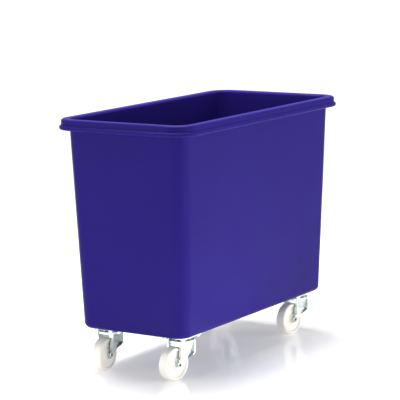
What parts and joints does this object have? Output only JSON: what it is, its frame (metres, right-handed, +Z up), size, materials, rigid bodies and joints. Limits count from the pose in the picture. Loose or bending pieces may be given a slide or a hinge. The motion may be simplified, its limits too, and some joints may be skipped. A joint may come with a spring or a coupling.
{
  "type": "wheeled bin",
  "caption": "Open-top tapered plastic bin with a rolled rim, standing on swivel castors with nylon wheels, for moving loose goods.",
  "frame": {"origin": "on the floor under the centre of the tub", "axes": "+X along the long side towards the front, +Y to the left, +Z up"},
  "size_m": [0.928, 0.47, 0.753],
  "materials": {
    "blue_polyethylene": "rotomoulded satin",
    "zinc_plated_steel": "bright zinc plated, pressed",
    "zinc_fasteners": "bright zinc plated",
    "bearing_steel": "polished",
    "white_nylon": "moulded nylon, satin"
  },
  "bodies": {
    "root": {"tub": "blue_polyethylene", "front_left_top_plate": "zinc_plated_steel", "front_left_king_pin": "zinc_plated_steel", "front_left_race_balls": "bearing_steel", "front_left_swivel_cap": "zinc_plated_steel", "front_left_plate_bolts": "zinc_fasteners", "front_left_bolt_washers": "zinc_fasteners", "front_left_plate_nuts": "zinc_fasteners", "front_right_top_plate": "zinc_plated_steel", "front_right_king_pin": "zinc_plated_steel", "front_right_race_balls": "bearing_steel", "front_right_swivel_cap": "zinc_plated_steel", "front_right_plate_bolts": "zinc_fasteners", "front_right_bolt_washers": "zinc_fasteners", "front_right_plate_nuts": "zinc_fasteners", "rear_left_top_plate": "zinc_plated_steel", "rear_left_king_pin": "zinc_plated_steel", "rear_left_race_balls": "bearing_steel", "rear_left_swivel_cap": "zinc_plated_steel", "rear_left_plate_bolts": "zinc_fasteners", "rear_left_bolt_washers": "zinc_fasteners", "rear_left_plate_nuts": "zinc_fasteners", "rear_right_top_plate": "zinc_plated_steel", "rear_right_king_pin": "zinc_plated_steel", "rear_right_race_balls": "bearing_steel", "rear_right_swivel_cap": "zinc_plated_steel", "rear_right_plate_bolts": "zinc_fasteners", "rear_right_bolt_washers": "zinc_fasteners", "rear_right_plate_nuts": "zinc_fasteners"},
    "front_left_swivel": {"front_left_fork": "zinc_plated_steel", "front_left_axle_bolt": "zinc_fasteners", "front_left_axle_nut": "zinc_fasteners", "front_left_axle_sleeve": "zinc_fasteners", "front_left_thrust_washers": "zinc_fasteners"},
    "front_left_rolling_wheel": {"front_left_wheel": "white_nylon"},
    "front_right_swivel": {"front_right_fork": "zinc_plated_steel", "front_right_axle_bolt": "zinc_fasteners", "front_right_axle_nut": "zinc_fasteners", "front_right_axle_sleeve": "zinc_fasteners", "front_right_thrust_washers": "zinc_fasteners"},
    "front_right_rolling_wheel": {"front_right_wheel": "white_nylon"},
    "rear_left_swivel": {"rear_left_fork": "zinc_plated_steel", "rear_left_axle_bolt": "zinc_fasteners", "rear_left_axle_nut": "zinc_fasteners", "rear_left_axle_sleeve": "zinc_fasteners", "rear_left_thrust_washers": "zinc_fasteners"},
    "rear_left_rolling_wheel": {"rear_left_wheel": "white_nylon"},
    "rear_right_swivel": {"rear_right_fork": "zinc_plated_steel", "rear_right_axle_bolt": "zinc_fasteners", "rear_right_axle_nut": "zinc_fasteners", "rear_right_axle_sleeve": "zinc_fasteners", "rear_right_thrust_washers": "zinc_fasteners"},
    "rear_right_rolling_wheel": {"rear_right_wheel": "white_nylon"}
  },
  "joints": [
    {"name": "front_left_swivel_turn", "type": "hinge", "parent": "root", "child": "front_left_swivel", "pos_m": [0.336, 0.126, 0.131], "axis": [0, 0, 1], "continuous": true},
    {"name": "front_left_wheel_roll", "type": "hinge", "parent": "front_left_swivel", "child": "front_left_rolling_wheel", "pos_m": [0.3002, 0.12976, 0.05], "axis": [0.1045, 0.9945, 0], "continuous": true},
    {"name": "front_right_swivel_turn", "type": "hinge", "parent": "root", "child": "front_right_swivel", "pos_m": [0.336, -0.126, 0.131], "axis": [0, 0, 1], "continuous": true},
    {"name": "front_right_wheel_roll", "type": "hinge", "parent": "front_right_swivel", "child": "front_right_rolling_wheel", "pos_m": [0.3003, -0.12136, 0.05], "axis": [0.1288, 0.9917, 0], "continuous": true},
    {"name": "rear_left_swivel_turn", "type": "hinge", "parent": "root", "child": "rear_left_swivel", "pos_m": [-0.336, 0.126, 0.131], "axis": [0, 0, 1], "continuous": true},
    {"name": "rear_left_wheel_roll", "type": "hinge", "parent": "rear_left_swivel", "child": "rear_left_rolling_wheel", "pos_m": [-0.37191, 0.12349, 0.05], "axis": [-0.0698, 0.9976, 0], "continuous": true},
    {"name": "rear_right_swivel_turn", "type": "hinge", "parent": "root", "child": "rear_right_swivel", "pos_m": [-0.336, -0.126, 0.131], "axis": [0, 0, 1], "continuous": true},
    {"name": "rear_right_wheel_roll", "type": "hinge", "parent": "rear_right_swivel", "child": "rear_right_rolling_wheel", "pos_m": [-0.37155, -0.12031, 0.05], "axis": [0.1582, 0.9874, 0], "continuous": true}
  ]
}
